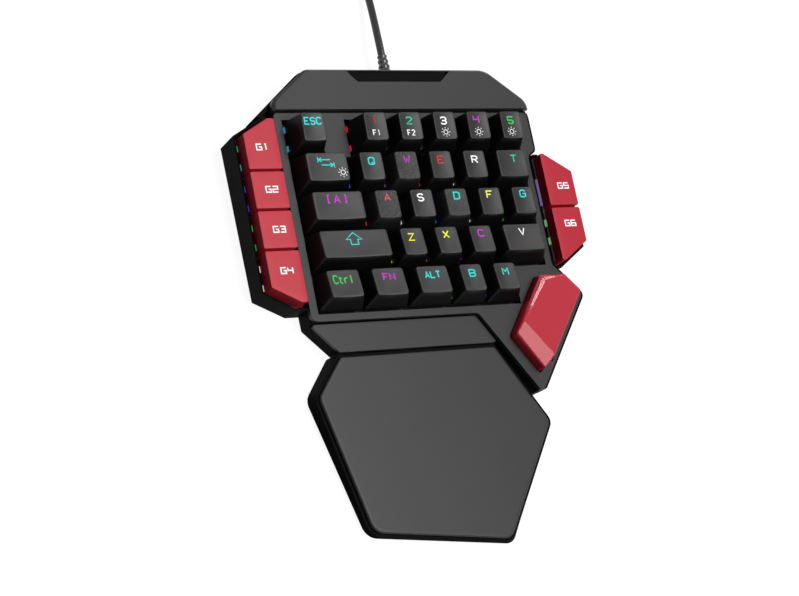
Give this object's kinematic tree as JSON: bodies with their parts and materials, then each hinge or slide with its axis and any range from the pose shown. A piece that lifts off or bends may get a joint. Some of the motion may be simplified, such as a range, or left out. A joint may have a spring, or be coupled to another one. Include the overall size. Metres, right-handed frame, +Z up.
{
  "type": "gaming keypad",
  "caption": "One-handed gaming keypad with sculpted keys, red macro keys on both sides, a thumb bar, a palm rest and a USB cord.",
  "frame": {"origin": "middle of the keypad's own footprint, cord left out, on the table that its rubber feet stand on", "axes": "+Z up from the table, +Y from the palm rest to the rear edge where the cord leaves, +X to the right along the key rows"},
  "size_m": [0.2193, 0.3592, 0.0307],
  "materials": {
    "dark_shell": "satin dark grey moulded plastic",
    "black_case": "satin black moulded plastic",
    "black_key": "black key cap with a fine matt coat",
    "red_key": "red key plastic with a soft sheen",
    "circuit_board": "green circuit board with black housings",
    "light_guide": "milky clear plastic",
    "rubber": "black rubber and soft cord jacket",
    "steel": "plated steel"
  },
  "bodies": {
    "housing": {"key_deck": "dark_shell", "switch_plate": "black_case", "main_board": "circuit_board", "left_wing_board": "circuit_board", "right_wing_board": "circuit_board", "left_light_guide": "light_guide", "right_light_guide": "light_guide", "rear_hood": "dark_shell", "hood_insert": "black_case", "bridge_panel": "dark_shell", "hood_screw_left": "steel", "hood_screw_right": "steel", "bridge_screw": "steel", "bottom_case": "black_case", "palm_panel": "dark_shell", "palm_base": "black_case", "strain_relief": "rubber", "foot_rear_left": "rubber", "foot_rear_right": "rubber", "foot_palm_left": "rubber", "foot_palm_right": "rubber", "cord_coil": "rubber", "cord": "rubber", "plug_body": "rubber", "plug_shell": "steel"},
    "key_esc": {"key_esc": "black_key"},
    "key_1": {"key_1": "black_key"},
    "key_2": {"key_2": "black_key"},
    "key_3": {"key_3": "black_key"},
    "key_4": {"key_4": "black_key"},
    "key_5": {"key_5": "black_key"},
    "key_tab": {"key_tab": "black_key"},
    "key_q": {"key_q": "black_key"},
    "key_w": {"key_w": "black_key"},
    "key_e": {"key_e": "black_key"},
    "key_r": {"key_r": "black_key"},
    "key_t": {"key_t": "black_key"},
    "key_caps": {"key_caps": "black_key"},
    "key_a": {"key_a": "black_key"},
    "key_s": {"key_s": "black_key"},
    "key_d": {"key_d": "black_key"},
    "key_f": {"key_f": "black_key"},
    "key_g": {"key_g": "black_key"},
    "key_shift": {"key_shift": "black_key"},
    "key_z": {"key_z": "black_key"},
    "key_x": {"key_x": "black_key"},
    "key_c": {"key_c": "black_key"},
    "key_v": {"key_v": "black_key"},
    "key_ctrl": {"key_ctrl": "black_key"},
    "key_fn": {"key_fn": "black_key"},
    "key_alt": {"key_alt": "black_key"},
    "key_b": {"key_b": "black_key"},
    "key_m": {"key_m": "black_key"},
    "key_g1": {"key_g1": "red_key"},
    "key_g2": {"key_g2": "red_key"},
    "key_g3": {"key_g3": "red_key"},
    "key_g4": {"key_g4": "red_key"},
    "key_g5": {"key_g5": "red_key"},
    "key_g6": {"key_g6": "red_key"},
    "thumb_bar": {"thumb_bar": "red_key"}
  },
  "joints": [
    {"name": "key_esc_press", "type": "slide", "parent": "housing", "child": "key_esc", "axis": [0, 0.0349, -0.9994], "range_m": [0, 0.0036], "stiffness_N_per_m": 150, "springref_m": -0.003},
    {"name": "key_1_press", "type": "slide", "parent": "housing", "child": "key_1", "axis": [0, 0.0349, -0.9994], "range_m": [0, 0.0036], "stiffness_N_per_m": 150, "springref_m": -0.003},
    {"name": "key_2_press", "type": "slide", "parent": "housing", "child": "key_2", "axis": [0, 0.0349, -0.9994], "range_m": [0, 0.0036], "stiffness_N_per_m": 150, "springref_m": -0.003},
    {"name": "key_3_press", "type": "slide", "parent": "housing", "child": "key_3", "axis": [0, 0.0349, -0.9994], "range_m": [0, 0.0036], "stiffness_N_per_m": 150, "springref_m": -0.003},
    {"name": "key_4_press", "type": "slide", "parent": "housing", "child": "key_4", "axis": [0, 0.0349, -0.9994], "range_m": [0, 0.0036], "stiffness_N_per_m": 150, "springref_m": -0.003},
    {"name": "key_5_press", "type": "slide", "parent": "housing", "child": "key_5", "axis": [0, 0.0349, -0.9994], "range_m": [0, 0.0036], "stiffness_N_per_m": 150, "springref_m": -0.003},
    {"name": "key_tab_press", "type": "slide", "parent": "housing", "child": "key_tab", "axis": [0, 0.0349, -0.9994], "range_m": [0, 0.0036], "stiffness_N_per_m": 150, "springref_m": -0.003},
    {"name": "key_q_press", "type": "slide", "parent": "housing", "child": "key_q", "axis": [0, 0.0349, -0.9994], "range_m": [0, 0.0036], "stiffness_N_per_m": 150, "springref_m": -0.003},
    {"name": "key_w_press", "type": "slide", "parent": "housing", "child": "key_w", "axis": [0, 0.0349, -0.9994], "range_m": [0, 0.0036], "stiffness_N_per_m": 150, "springref_m": -0.003},
    {"name": "key_e_press", "type": "slide", "parent": "housing", "child": "key_e", "axis": [0, 0.0349, -0.9994], "range_m": [0, 0.0036], "stiffness_N_per_m": 150, "springref_m": -0.003},
    {"name": "key_r_press", "type": "slide", "parent": "housing", "child": "key_r", "axis": [0, 0.0349, -0.9994], "range_m": [0, 0.0036], "stiffness_N_per_m": 150, "springref_m": -0.003},
    {"name": "key_t_press", "type": "slide", "parent": "housing", "child": "key_t", "axis": [0, 0.0349, -0.9994], "range_m": [0, 0.0036], "stiffness_N_per_m": 150, "springref_m": -0.003},
    {"name": "key_caps_press", "type": "slide", "parent": "housing", "child": "key_caps", "axis": [0, 0.0349, -0.9994], "range_m": [0, 0.0036], "stiffness_N_per_m": 150, "springref_m": -0.003},
    {"name": "key_a_press", "type": "slide", "parent": "housing", "child": "key_a", "axis": [0, 0.0349, -0.9994], "range_m": [0, 0.0036], "stiffness_N_per_m": 150, "springref_m": -0.003},
    {"name": "key_s_press", "type": "slide", "parent": "housing", "child": "key_s", "axis": [0, 0.0349, -0.9994], "range_m": [0, 0.0036], "stiffness_N_per_m": 150, "springref_m": -0.003},
    {"name": "key_d_press", "type": "slide", "parent": "housing", "child": "key_d", "axis": [0, 0.0349, -0.9994], "range_m": [0, 0.0036], "stiffness_N_per_m": 150, "springref_m": -0.003},
    {"name": "key_f_press", "type": "slide", "parent": "housing", "child": "key_f", "axis": [0, 0.0349, -0.9994], "range_m": [0, 0.0036], "stiffness_N_per_m": 150, "springref_m": -0.003},
    {"name": "key_g_press", "type": "slide", "parent": "housing", "child": "key_g", "axis": [0, 0.0349, -0.9994], "range_m": [0, 0.0036], "stiffness_N_per_m": 150, "springref_m": -0.003},
    {"name": "key_shift_press", "type": "slide", "parent": "housing", "child": "key_shift", "axis": [0, 0.0349, -0.9994], "range_m": [0, 0.0036], "stiffness_N_per_m": 150, "springref_m": -0.003},
    {"name": "key_z_press", "type": "slide", "parent": "housing", "child": "key_z", "axis": [0, 0.0349, -0.9994], "range_m": [0, 0.0036], "stiffness_N_per_m": 150, "springref_m": -0.003},
    {"name": "key_x_press", "type": "slide", "parent": "housing", "child": "key_x", "axis": [0, 0.0349, -0.9994], "range_m": [0, 0.0036], "stiffness_N_per_m": 150, "springref_m": -0.003},
    {"name": "key_c_press", "type": "slide", "parent": "housing", "child": "key_c", "axis": [0, 0.0349, -0.9994], "range_m": [0, 0.0036], "stiffness_N_per_m": 150, "springref_m": -0.003},
    {"name": "key_v_press", "type": "slide", "parent": "housing", "child": "key_v", "axis": [0, 0.0349, -0.9994], "range_m": [0, 0.0036], "stiffness_N_per_m": 150, "springref_m": -0.003},
    {"name": "key_ctrl_press", "type": "slide", "parent": "housing", "child": "key_ctrl", "axis": [0, 0.0349, -0.9994], "range_m": [0, 0.0036], "stiffness_N_per_m": 150, "springref_m": -0.003},
    {"name": "key_fn_press", "type": "slide", "parent": "housing", "child": "key_fn", "axis": [0, 0.0349, -0.9994], "range_m": [0, 0.0036], "stiffness_N_per_m": 150, "springref_m": -0.003},
    {"name": "key_alt_press", "type": "slide", "parent": "housing", "child": "key_alt", "axis": [0, 0.0349, -0.9994], "range_m": [0, 0.0036], "stiffness_N_per_m": 150, "springref_m": -0.003},
    {"name": "key_b_press", "type": "slide", "parent": "housing", "child": "key_b", "axis": [0, 0.0349, -0.9994], "range_m": [0, 0.0036], "stiffness_N_per_m": 150, "springref_m": -0.003},
    {"name": "key_m_press", "type": "slide", "parent": "housing", "child": "key_m", "axis": [0, 0.0349, -0.9994], "range_m": [0, 0.0036], "stiffness_N_per_m": 150, "springref_m": -0.003},
    {"name": "key_g1_press", "type": "slide", "parent": "housing", "child": "key_g1", "axis": [0, 0.0349, -0.9994], "range_m": [0, 0.003], "stiffness_N_per_m": 150, "springref_m": -0.003},
    {"name": "key_g2_press", "type": "slide", "parent": "housing", "child": "key_g2", "axis": [0, 0.0349, -0.9994], "range_m": [0, 0.003], "stiffness_N_per_m": 150, "springref_m": -0.003},
    {"name": "key_g3_press", "type": "slide", "parent": "housing", "child": "key_g3", "axis": [0, 0.0349, -0.9994], "range_m": [0, 0.003], "stiffness_N_per_m": 150, "springref_m": -0.003},
    {"name": "key_g4_press", "type": "slide", "parent": "housing", "child": "key_g4", "axis": [0, 0.0349, -0.9994], "range_m": [0, 0.003], "stiffness_N_per_m": 150, "springref_m": -0.003},
    {"name": "key_g5_press", "type": "slide", "parent": "housing", "child": "key_g5", "axis": [0, 0.0349, -0.9994], "range_m": [0, 0.003], "stiffness_N_per_m": 150, "springref_m": -0.003},
    {"name": "key_g6_press", "type": "slide", "parent": "housing", "child": "key_g6", "axis": [0, 0.0349, -0.9994], "range_m": [0, 0.003], "stiffness_N_per_m": 150, "springref_m": -0.003},
    {"name": "thumb_bar_press", "type": "slide", "parent": "housing", "child": "thumb_bar", "axis": [0, 0.0349, -0.9994], "range_m": [0, 0.003], "stiffness_N_per_m": 150, "springref_m": -0.003}
  ]
}
